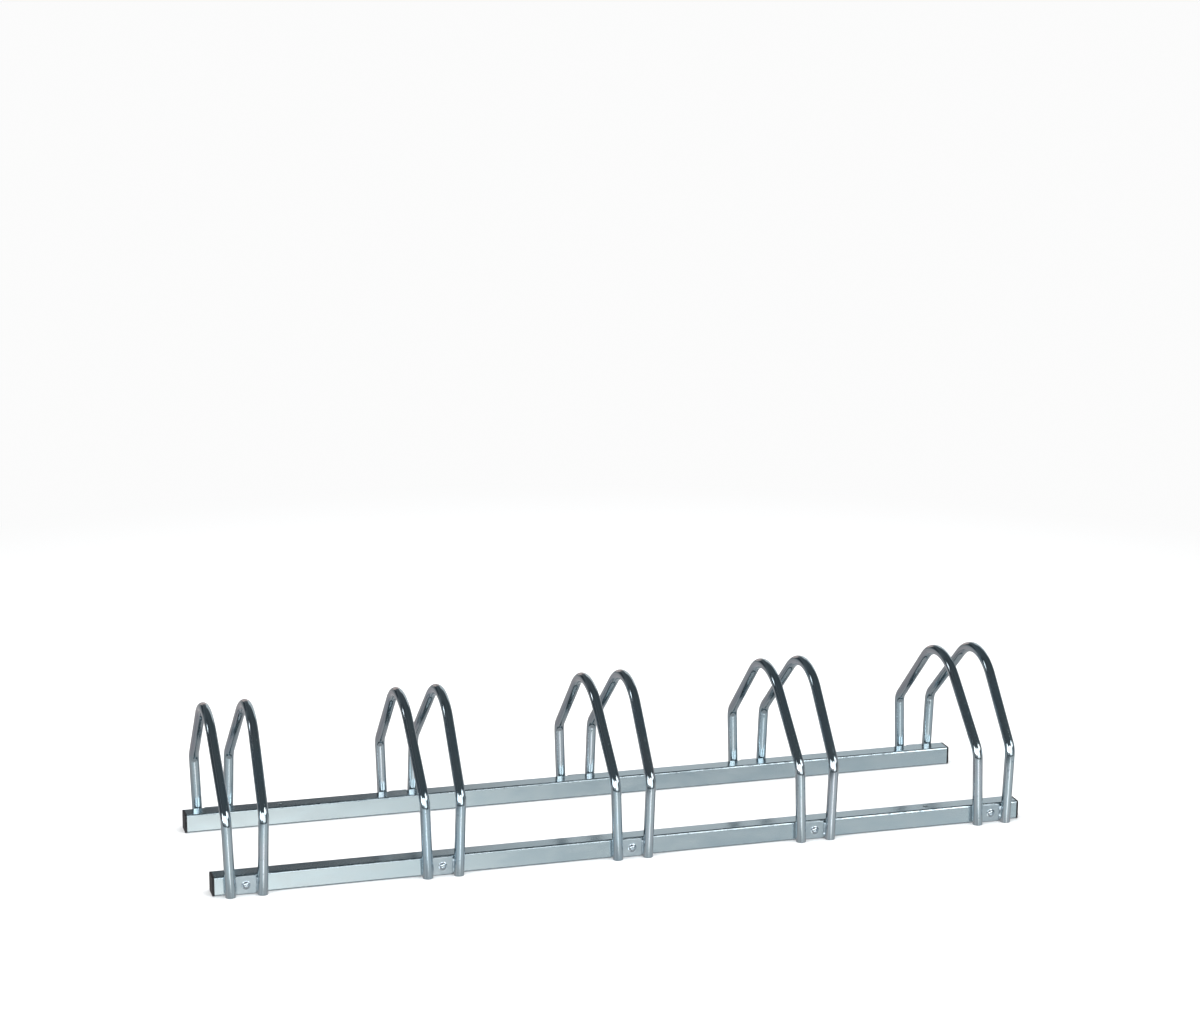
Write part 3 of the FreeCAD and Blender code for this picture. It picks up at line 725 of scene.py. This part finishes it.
class RACK_OT_welds(bpy.types.Operator):
    """Lay the weld beads between the plates and the legs"""

    bl_idname = "rack.welds"
    bl_label = "Weld beads"

    def execute(self, context):
        sizes, finish, _ = settings()
        zinc = weld_finish(finish)
        chance = random.Random(11)
        for side, number in PLATES:
            for hand in HANDS:
                bead = self.model(sizes, chance)
                place = self.place(sizes, side, number, hand)
                laid = copy_of(bead, f"bead_{side}_{number}_{hand}", place)
                bpy.data.objects.remove(bead)
                hand_over(laid, zinc, "zinc_weld", f"{side}_welds")
        return {"FINISHED"}

    def place(self, sizes, side, number, hand):
        """Where a bead lies: in the corner of the plate's outer face and a leaning leg."""
        middle, face, height = plate_face(side, number)
        radius = sizes.tube_diameter / 2
        leg_y = (HOOP_HIGH.y - HOOP_LOW.y) / 2 - radius
        flank = math.sqrt(radius ** 2 - (leg_y - abs(face)) ** 2)
        leg_x = sizes.leg_spacing / 2 + height * math.tan(sizes.splay)
        x = middle + LEAN[hand] * (leg_x - flank - BEAD_SETBACK * sizes.weld_leg)
        lean = Matrix.Rotation(LEAN[hand] * sizes.splay, 4, "Y")
        return Matrix.Translation((x, face, height)) @ lean

    def model(self, sizes, chance):
        """Rippled bead along the Z axis with rounded ends, a little different each time."""
        bead_length = PLATE_HIGH.z - PLATE_LOW.z - 2 * sizes.weld_leg
        begin()
        bpy.ops.mesh.primitive_cylinder_add(
            vertices=BEAD_SIDES, radius=BEAD_RADIUS * sizes.weld_leg, depth=bead_length
        )
        bead = settle("bead_pattern")
        mode("EDIT")
        for ring in range(1, BEAD_RINGS):
            bpy.ops.mesh.select_all(action="SELECT")
            bpy.ops.mesh.bisect(
                plane_co=(0, 0, bead_length * (ring / BEAD_RINGS - 0.5)), plane_no=(0, 0, 1)
            )
        mode("OBJECT")
        ripple_length = chance.uniform(1.7, 2.3) * MM
        phase = chance.uniform(0, math.tau)
        lumps = [(chance.uniform(-0.5, 0.5), chance.uniform(-0.2, 0.35)) for _ in range(LUMPS)]
        for vertex in bead.data.vertices:
            along = vertex.co.z / bead_length
            around = math.atan2(vertex.co.y, vertex.co.x)
            ripple = math.sin(math.tau * vertex.co.z / ripple_length + phase + 0.8 * math.cos(around))
            lump = sum(size * math.exp(-((along - spot) / LUMP_LENGTH) ** 2) for spot, size in lumps)
            rounding = math.sqrt(max(0.05, 1 - (2 * along) ** 8))
            swell = (1 + sizes.weld_ripple * ripple + lump) * rounding
            vertex.co.x *= swell
            vertex.co.y *= swell
        smooth(bead, sharper_than=80)
        return bead


# ---------- the finishes

METAL = 1.0
NOT_METAL = 0.0
NOISE_ROUGHNESS = 0.55


class Nodes:
    """Shader nodes under construction, in a material or a world."""

    def __init__(self, tree):
        self.tree = tree

    def add(self, kind, **values):
        """New node, with its inputs and settings by name."""
        node = self.tree.nodes.new(f"ShaderNode{kind}")
        for name, setting in values.items():
            socket = name.replace("_", " ").title()
            if socket in node.inputs:
                node.inputs[socket].default_value = setting
            else:
                setattr(node, name, setting)
        return node

    def link(self, source, target):
        """Join an output to an input."""
        self.tree.links.new(source, target)

    def reckon(self, operation, *entries):
        """Arithmetic on grey values and numbers."""
        node = self.add("Math", operation=operation)
        for socket, entry in zip(node.inputs, entries):
            if isinstance(entry, (int, float)):
                socket.default_value = entry
            else:
                self.link(entry, socket)
        return node.outputs[0]

    def axes(self, source):
        """X, Y and Z of a vector, by name."""
        parts = self.add("SeparateXYZ")
        self.link(source, parts.inputs[0])
        return parts.outputs

    def spread(self, source, low, high, darkest=0.3, brightest=0.7, interpolation="LINEAR"):
        """Map a grey value, from darkest and brightest to low and high."""
        mapped = self.add("MapRange", interpolation_type=interpolation)
        limits = (darkest, brightest, low, high)
        for socket, limit in zip(("From Min", "From Max", "To Min", "To Max"), limits):
            mapped.inputs[socket].default_value = limit
        self.link(source, mapped.inputs["Value"])
        return mapped.outputs["Result"]

    def tones(self, source, *stops):
        """Colour ramp with stops of position and colour, from the lowest to the highest."""
        ramp = self.add("ValToRGB")
        elements = ramp.color_ramp.elements
        elements.remove(elements[1])
        elements[0].position, elements[0].color = stops[0][0], (*stops[0][1], 1)
        for position, tone in stops[1:]:
            elements.new(position).color = (*tone, 1)
        self.link(source, ramp.inputs["Fac"])
        return ramp.outputs["Color"]

    def blend(self, mask, under, over):
        """Lay a plain colour over another by a grey mask."""
        mix = self.add("Mix", data_type="RGBA")
        self.link(mask, mix.inputs["Factor"])
        self.link(under, mix.inputs[6])
        mix.inputs[7].default_value = (*over, 1)
        return mix.outputs[2]


class Finish(Nodes):
    """Material under construction, with a shader ready in it."""

    def __init__(self, name, base, roughness, metallic):
        self.material = bpy.data.materials.new(name)
        self.material.use_nodes = True
        super().__init__(self.material.node_tree)
        self.base = tuple(base)
        self.shader = self.tree.nodes["Principled BSDF"]
        self.shader.inputs["Base Color"].default_value = (*base, 1)
        self.shader.inputs["Roughness"].default_value = roughness
        self.shader.inputs["Metallic"].default_value = metallic

    def places(self, scale=(1, 1, 1), attribute=None):
        """Coordinates on the object, or on a stored attribute, stretched by a scale."""
        if attribute:
            source = self.add("Attribute", attribute_name=attribute).outputs["Vector"]
        else:
            source = self.add("TexCoord").outputs["Object"]
        mapping = self.add("Mapping", scale=scale)
        self.link(source, mapping.inputs["Vector"])
        return mapping.outputs["Vector"]

    def noise(self, where, scale, detail=3.0):
        """Grey noise from 0 to 1, whose scale is in waves per metre."""
        noise = self.add("TexNoise", scale=scale, detail=detail, roughness=NOISE_ROUGHNESS)
        self.link(where, noise.inputs["Vector"])
        return noise.outputs["Fac"]

    def tint(self, red, green, blue):
        """The base colour with each channel scaled."""
        return (self.base[0] * red, self.base[1] * green, self.base[2] * blue)

    def shades(self, source, *stops):
        """Colour ramp whose stops give a position and the scales of the base colour's channels."""
        return self.tones(source, *((position, self.tint(*scales)) for position, *scales in stops))

    def relief(self, height, strength, distance):
        """Bumps from a grey value."""
        bump = self.add("Bump", strength=strength, distance=distance)
        self.link(height, bump.inputs["Height"])
        self.link(bump.outputs["Normal"], self.shader.inputs["Normal"])

    def colour_from(self, source):
        """Take the shader's colour from an output."""
        self.link(source, self.shader.inputs["Base Color"])

    def roughness_from(self, source):
        """Take the shader's roughness from an output."""
        self.link(source, self.shader.inputs["Roughness"])


REAR_SHADE_ONSET = (0.36, 0.39)  # Along a hoop's axis from the front foot: where the painted shade on the rear slope and rear leg sets in.


def tube_finish(finish):
    """Bright zinc on drawn tube: cool and warm clouds, drawing lines, bath marks, and painted shade that
    darkens the rear slope and rear leg.
    """
    zinc = Finish("bright_zinc_tube", finish.tube_zinc, finish.tube_roughness, METAL)
    lines = zinc.noise(zinc.places((620, 620, 7), "unbent"), 1.0, detail=2.5)
    marks = zinc.noise(zinc.places(), 190.0, detail=2.0)
    clouds = zinc.shades(
        zinc.noise(zinc.places(), 9.0), (0.36, 0.92, 0.98, 1.03), (0.5, 1, 1, 1), (0.66, 1.06, 0.98, 0.99)
    )
    drawn = zinc.blend(zinc.spread(lines, 0.0, 0.55, 0.5, 0.66), clouds, zinc.tint(0.58, 0.62, 0.66))
    spotted = zinc.blend(zinc.spread(marks, 0.0, 0.5, 0.68, 0.76), drawn, zinc.tint(0.45, 0.5, 0.55))
    # Painted shade: past the top bend, the rear slope and rear leg are darkened a little.
    rear_shade = zinc.spread(zinc.axes(zinc.places(attribute="unbent"))["Z"], 0.0, 0.3, *REAR_SHADE_ONSET)
    zinc.colour_from(zinc.blend(rear_shade, spotted, zinc.tint(0.62, 0.62, 0.62)))
    rough = zinc.spread(lines, finish.tube_roughness - 0.04, finish.tube_roughness + 0.05)
    zinc.roughness_from(zinc.reckon("ADD", rough, zinc.spread(marks, 0.0, 0.1, 0.62, 0.76)))
    zinc.relief(lines, 0.2, 0.05 * MM)
    return zinc.material


def rail_finish(finish):
    """Zinc on rolled square tube: faint clouds, rolling lines, and a painted dark reflection in patches
    along the long corners, which are also rougher there.
    """
    zinc = Finish("bright_zinc_rail", finish.rail_zinc, finish.rail_roughness, METAL)
    mottle = zinc.noise(zinc.places((0.35, 1, 1)), 60.0)
    clouds = zinc.noise(zinc.places((0.3, 1, 1)), 14.0)
    lines = zinc.noise(zinc.places((1.5, 620, 620)), 1.0, detail=2.0)
    specks = zinc.noise(zinc.places((0.5, 1, 1)), 330.0, detail=2.0)
    uneven = zinc.reckon("ADD", zinc.reckon("MULTIPLY", mottle, 0.5), zinc.reckon("MULTIPLY", clouds, 0.5))
    tone = zinc.shades(uneven, (0.40, 0.93, 0.95, 0.96), (0.5, 1, 1, 1), (0.62, 1.05, 1.03, 1.02))
    speckled = zinc.blend(zinc.spread(specks, 0.0, 0.16, 0.66, 0.78), tone, zinc.tint(0.74, 0.78, 0.82))
    # Painted dark reflection: patches along the long corners are darkened in colour and made a little
    # rougher.
    patches = zinc.spread(zinc.noise(zinc.places((0.22, 1, 1)), 420.0), 0.0, 1.0, 0.54, 0.62)
    painted_corner_reflection = zinc.reckon("MULTIPLY", long_corners(zinc), patches)
    zinc.colour_from(zinc.blend(painted_corner_reflection, speckled, zinc.tint(0.62, 0.64, 0.66)))
    rough = zinc.spread(mottle, finish.rail_roughness - 0.02, finish.rail_roughness + 0.04)
    zinc.roughness_from(zinc.reckon("ADD", rough, zinc.reckon("MULTIPLY", painted_corner_reflection, 0.25)))
    zinc.relief(lines, 0.03, 0.01 * MM)
    return zinc.material


def long_corners(zinc):
    """1 on the four round corners of either rail, and 0 on its flat sides."""
    place = zinc.axes(zinc.places())
    half = RAIL_SIZE / 2
    depth = zinc.reckon("SUBTRACT", zinc.reckon("ABSOLUTE", place["Y"]), RAIL_FACE - half)
    rise = zinc.reckon("SUBTRACT", place["Z"], half)
    nearest = zinc.reckon("MINIMUM", zinc.reckon("ABSOLUTE", depth), zinc.reckon("ABSOLUTE", rise))
    return zinc.spread(nearest, 0.0, 1.0, half - 3 * MM, half - 1.6 * MM)


def plate_finish(finish):
    """Satin zinc on sheared plate, with a fine even grain."""
    zinc = Finish("satin_zinc_plate", finish.plate_zinc, finish.plate_roughness, METAL)
    grain = zinc.noise(zinc.places(), 900.0)
    zinc.colour_from(zinc.shades(
        zinc.noise(zinc.places(), 90.0),
        (0.35, 0.86, 0.88, 0.9), (0.55, 0.95, 0.95, 0.96), (0.7, 1.03, 1.02, 1.02),
    ))
    zinc.roughness_from(zinc.spread(grain, finish.plate_roughness - 0.05, finish.plate_roughness + 0.05))
    zinc.relief(grain, 0.12, 0.01 * MM)
    return zinc.material


def screw_finish(finish):
    """Bright zinc on a pressed screw head."""
    zinc = Finish("bright_zinc_screw", finish.screw_zinc, finish.screw_roughness, METAL)
    grain = zinc.noise(zinc.places(), 900.0)
    clouds = zinc.noise(zinc.places(), 240.0)
    zinc.colour_from(zinc.shades(clouds, (0.35, 0.9, 0.93, 0.96), (0.65, 1, 1, 1)))
    zinc.roughness_from(zinc.spread(grain, finish.screw_roughness - 0.04, finish.screw_roughness + 0.08))
    zinc.relief(grain, 0.1, 0.03 * MM)
    return zinc.material


def insert_finish(finish):
    """Yellowish zinc on the threaded inserts."""
    zinc = Finish("yellow_zinc_insert", finish.insert_zinc, 0.3, METAL)
    clouds = zinc.noise(zinc.places(), 200.0)
    zinc.colour_from(zinc.shades(clouds, (0.35, 1.05, 0.98, 0.85), (0.65, 1, 1, 1)))
    zinc.roughness_from(zinc.spread(clouds, 0.24, 0.4))
    return zinc.material


def weld_finish(finish):
    """Zinc over a weld: bright, rough and uneven."""
    zinc = Finish("zinc_over_weld", finish.weld_zinc, 0.3, METAL)
    grain = zinc.noise(zinc.places(), 700.0, detail=4.0)
    clouds = zinc.noise(zinc.places(), 300.0)
    zinc.colour_from(zinc.shades(clouds, (0.35, 0.8, 0.84, 0.88), (0.6, 1, 1, 1)))
    zinc.roughness_from(zinc.spread(grain, 0.22, 0.45))
    zinc.relief(grain, 0.5, 0.1 * MM)
    return zinc.material


def plastic_finish(finish):
    """Black moulded plastic with a fine grain and a few dusty, rubbed patches."""
    plastic = Finish("black_moulded_plastic", finish.plastic, finish.plastic_roughness, NOT_METAL)
    plastic.shader.inputs["Specular IOR Level"].default_value = 0.3
    grain = plastic.noise(plastic.places(), 1600.0)
    dust = plastic.noise(plastic.places(), 130.0, detail=5.0)
    plastic.colour_from(plastic.shades(dust, (0.45, 1, 1, 1), (0.72, 2.4, 2.4, 2.5)))
    smoothest = finish.plastic_roughness - 0.05
    plastic.roughness_from(plastic.spread(dust, smoothest, finish.plastic_roughness + 0.14))
    plastic.relief(grain, 0.25, 0.05 * MM)
    return plastic.material


# ---------- the studio

FLOOR_WIDTH = 120
NEAR_FLOOR = 0.9  # Distance from the rack at which the floor begins to turn plain white.
FAR_FLOOR = 2.4  # Distance at which it is plain white.
OVERHEAD_SIZE = (4.5, 3.5)
OVERHEAD_PLACE = (0, 0.2, 3)
VIEW_DEPTH = 200

# Colours all round by height above the horizon in degrees, from straight down to straight up.
SKY = (
    (-90, (0.36, 0.375, 0.385)), (-42, (0.35, 0.365, 0.375)), (-30, (0.42, 0.43, 0.44)),
    (-12, (0.45, 0.44, 0.435)), (-5, (0.27, 0.28, 0.285)), (3, (0.15, 0.165, 0.175)),
    (30, (0.076, 0.090, 0.099)), (90, (0.060, 0.073, 0.080)),
)

# Panes that the metal sees, each laid over those before it: bearing, half width, height above the horizon,
# half height and edge in degrees, and colour in linear light.  Bearings run from the front (0) over the
# right (+90) to the rear (180).
SURROUNDINGS = (
    ("dark_ceiling_left", -96, 36, 28, 36, 10, (0.052, 0.062, 0.070)),
    ("dark_ceiling_right", 100, 45, 50, 28, 14, (0.058, 0.072, 0.080)),
    ("floor_in_front", 0, 75, -20, 13, 16, (0.50, 0.55, 0.575)),
    ("dark_front_horizon", 50, 34, -3, 5, 5, (0.18, 0.20, 0.21)),
    ("floor_left", -97, 9, -22, 12, 8, (0.38, 0.39, 0.40)),
    ("floor_rear_left", -156, 18, -25, 15, 8, (0.37, 0.345, 0.355)),
    ("low_floor_rear_left", -145, 14, -48, 16, 8, (0.34, 0.33, 0.35)),
    ("floor_right", 96, 8, -22, 12, 6, (0.34, 0.36, 0.37)),
    ("floor_rear_right", 124, 11, -22, 12, 8, (0.46, 0.48, 0.49)),
    ("lit_floor_right", 27, 5, -20, 12, 6, (0.72, 0.78, 0.80)),
    ("lit_floor_left", -25, 4, -20, 12, 2, (1.0, 1.1, 1.15)),
    ("floor_shade", -14, 3.5, -20, 12, 2, (0.36, 0.42, 0.46)),
    ("lit_floor_ahead", -4, 3.3, -20, 12, 2, (2.5, 2.55, 2.6)),
    ("lit_floor", 8.2, 4.8, -20, 14, 1.5, (1.42, 1.44, 1.40)),
    ("dark_floor_edge", -10, 80, -11.5, 4.5, 3, (0.085, 0.10, 0.11)),
    ("grey_wall_behind", 148, 19, 13, 16, 2, (0.57, 0.61, 0.63)),
    ("warm_wall_behind", 178, 12, 6, 7, 1.5, (0.55, 0.455, 0.435)),
    ("dark_door_behind", -157, 12, 13, 8, 4, (0.035, 0.042, 0.05)),
    ("pale_wall_behind", 125, 12, -2, 8, 6, (0.38, 0.38, 0.39)),
    ("right_fill", 74, 18, 23, 7, 4, (0.50, 0.52, 0.54)),
    ("left_strip", -84, 3, 44, 15, 3, (0.15, 0.16, 0.17)),
    ("rear_left_lamp", -114, 5, 30, 6, 3, (2.4, 2.5, 2.6)),
    ("softbox_tip", -6, 3.5, -4, 5, 2, (2.6, 2.7, 2.75)),
    ("low_front_softbox", -9, 9, 1.5, 4, 2, (2.6, 2.7, 2.75)),
    ("left_softbox", -61, 24, 13, 13, 2, (2.8, 2.9, 2.95)),
    ("front_softbox", -14, 18, 20, 17, 2, (2.8, 2.9, 2.95)),
    ("right_strip_light", 23, 5.5, 14, 23, 2, (2.8, 2.9, 2.95)),
    ("right_softbox", 44, 17, 38, 14, 2, (2.8, 2.9, 2.95)),
    ("gap_between_softboxes", -15, 1.3, 16, 22, 1.5, (0.22, 0.24, 0.25)),
    ("grey_pane", 13.8, 2.4, 8, 19, 1.5, (0.42, 0.46, 0.48)),
    ("pane_ahead", 8, 3.2, 8, 17, 1.5, (2.2, 2.25, 2.3)),
)


class RACK_OT_studio(bpy.types.Operator):
    """Lay the pale floor, hang the lights and set up the camera"""

    bl_idname = "rack.studio"
    bl_label = "Studio"

    def execute(self, context):
        studio = settings()[2]
        self.floor(studio)
        self.light(context.scene, studio)
        self.world(context.scene, studio)
        self.camera(context.scene, studio)
        context.scene.view_settings.view_transform = "Standard"
        return {"FINISHED"}

    def floor(self, studio):
        """Pale floor that takes soft shadows near the rack and stays evenly white far away."""
        begin()
        bpy.ops.mesh.primitive_plane_add(size=FLOOR_WIDTH)
        floor = settle("studio_floor")
        paint = Finish("pale_floor", (studio.floor_white,) * 3, 0.9, NOT_METAL)
        paint.shader.inputs["Specular IOR Level"].default_value = 0.0
        distance = paint.add("VectorMath", operation="LENGTH")
        paint.link(paint.places(), distance.inputs[0])
        far = paint.spread(distance.outputs["Value"], 0.0, 1.0, NEAR_FLOOR, FAR_FLOOR)
        glow = paint.add("Emission")
        glow.inputs["Color"].default_value = (studio.backdrop_white,) * 3 + (1,)
        mix = paint.add("MixShader")
        paint.link(far, mix.inputs[0])
        paint.link(paint.shader.outputs[0], mix.inputs[1])
        paint.link(glow.outputs[0], mix.inputs[2])
        paint.link(mix.outputs[0], paint.tree.nodes["Material Output"].inputs["Surface"])
        floor.data.materials.append(paint.material)
        floor.visible_glossy = False

    def light(self, scene, studio):
        """Broad softbox overhead that lights the floor, without showing in the metal."""
        light = bpy.data.lights.new("overhead_softbox", "AREA")
        light.shape = "RECTANGLE"
        light.size, light.size_y = OVERHEAD_SIZE
        light.energy = studio.overhead_watts
        lamp = bpy.data.objects.new("overhead_softbox", light)
        lamp.location = OVERHEAD_PLACE
        lamp.visible_glossy = False
        scene.collection.objects.link(lamp)

    def world(self, scene, studio):
        """All that the metal sees round the rack.  The camera sees plain white in its place."""
        world = bpy.data.worlds.new("studio_walls")
        world.use_nodes = True
        sky = Nodes(world.node_tree)

        def within(source, half_width, edge):
            """1 inside a width on both sides of 0, falling to 0 over an edge."""
            inner, outer = half_width - edge / 2, half_width + edge / 2
            return sky.spread(sky.reckon("ABSOLUTE", source), 1, 0, inner, outer, "SMOOTHSTEP")

        ray = sky.axes(sky.add("TexCoord").outputs["Generated"])
        toward_front = sky.reckon("MULTIPLY", ray["Y"], -1)
        bearing = sky.reckon("DEGREES", sky.reckon("ARCTAN2", ray["X"], toward_front))
        height = sky.reckon("DEGREES", sky.reckon("ARCSINE", ray["Z"]))
        stops = [((degrees + 90) / 180, tone) for degrees, tone in SKY]
        light = sky.tones(sky.reckon("MULTIPLY_ADD", height, 1 / 180, 0.5), *stops)
        for name, turn, half_width, rise, half_height, edge, tone in SURROUNDINGS:
            sideways = sky.reckon("WRAP", sky.reckon("SUBTRACT", bearing, turn), 180, -180)
            upwards = sky.reckon("SUBTRACT", height, rise)
            mask = sky.reckon(
                "MULTIPLY", within(sideways, half_width, edge), within(upwards, half_height, edge)
            )
            light = sky.blend(mask, light, tone)
            light.node.name = name
        to_camera = sky.add("LightPath").outputs["Is Camera Ray"]
        seen = sky.blend(to_camera, light, (studio.backdrop_white,) * 3)
        sky.link(seen, sky.tree.nodes["Background"].inputs["Color"])
        scene.world = world

    def camera(self, scene, studio):
        """Camera at the place, turn and tilt that the settings give."""
        lens = bpy.data.cameras.new("rack_camera")
        lens.lens = studio.camera_lens
        lens.clip_end = VIEW_DEPTH
        camera = bpy.data.objects.new("rack_camera", lens)
        camera.matrix_world = (
            Matrix.Translation(studio.camera_place)
            @ Matrix.Rotation(-studio.camera_yaw, 4, "Z")
            @ Matrix.Rotation(math.pi / 2 - studio.camera_pitch, 4, "X")
            @ Matrix.Rotation(studio.camera_roll, 4, "Z")
        )
        scene.collection.objects.link(camera)
        scene.camera = camera


# ---------- panel and start

PIECES = (
    RACK_OT_rails, RACK_OT_caps, RACK_OT_hoops, RACK_OT_plates, RACK_OT_screws, RACK_OT_inserts,
    RACK_OT_welds,
)


class RACK_PT_pieces(bpy.types.Panel):
    """Buttons for the rack's pieces and the studio"""

    bl_label = "Floor Bike Rack"
    bl_space_type = "VIEW_3D"
    bl_region_type = "UI"
    bl_category = "Bike Rack"

    def draw(self, context):
        for operator in (RACK_OT_studio, *PIECES):
            self.layout.operator(operator.bl_idname)
        for group in settings():
            box = self.layout.box()
            for name in group.__annotations__:
                box.prop(group, name)


CLASSES = (RackSizes, RackFinish, RackStudio, RACK_OT_studio, *PIECES, RACK_PT_pieces)


def register():
    """Make the settings, the operators and the panel known."""
    for item in CLASSES:
        bpy.utils.register_class(item)
    bpy.types.Scene.rack_sizes = bpy.props.PointerProperty(type=RackSizes)
    bpy.types.Scene.rack_finish = bpy.props.PointerProperty(type=RackFinish)
    bpy.types.Scene.rack_studio = bpy.props.PointerProperty(type=RackStudio)


def unregister():
    """Take them away again."""
    del bpy.types.Scene.rack_studio
    del bpy.types.Scene.rack_finish
    del bpy.types.Scene.rack_sizes
    for item in reversed(CLASSES):
        bpy.utils.unregister_class(item)


def main():
    """Build the studio and every piece."""
    register()
    bpy.ops.rack.studio()
    bpy.ops.rack.rails()
    bpy.ops.rack.caps()
    bpy.ops.rack.hoops()
    bpy.ops.rack.plates()
    bpy.ops.rack.screws()
    bpy.ops.rack.inserts()
    bpy.ops.rack.welds()


if __name__ == "__main__":
    main()
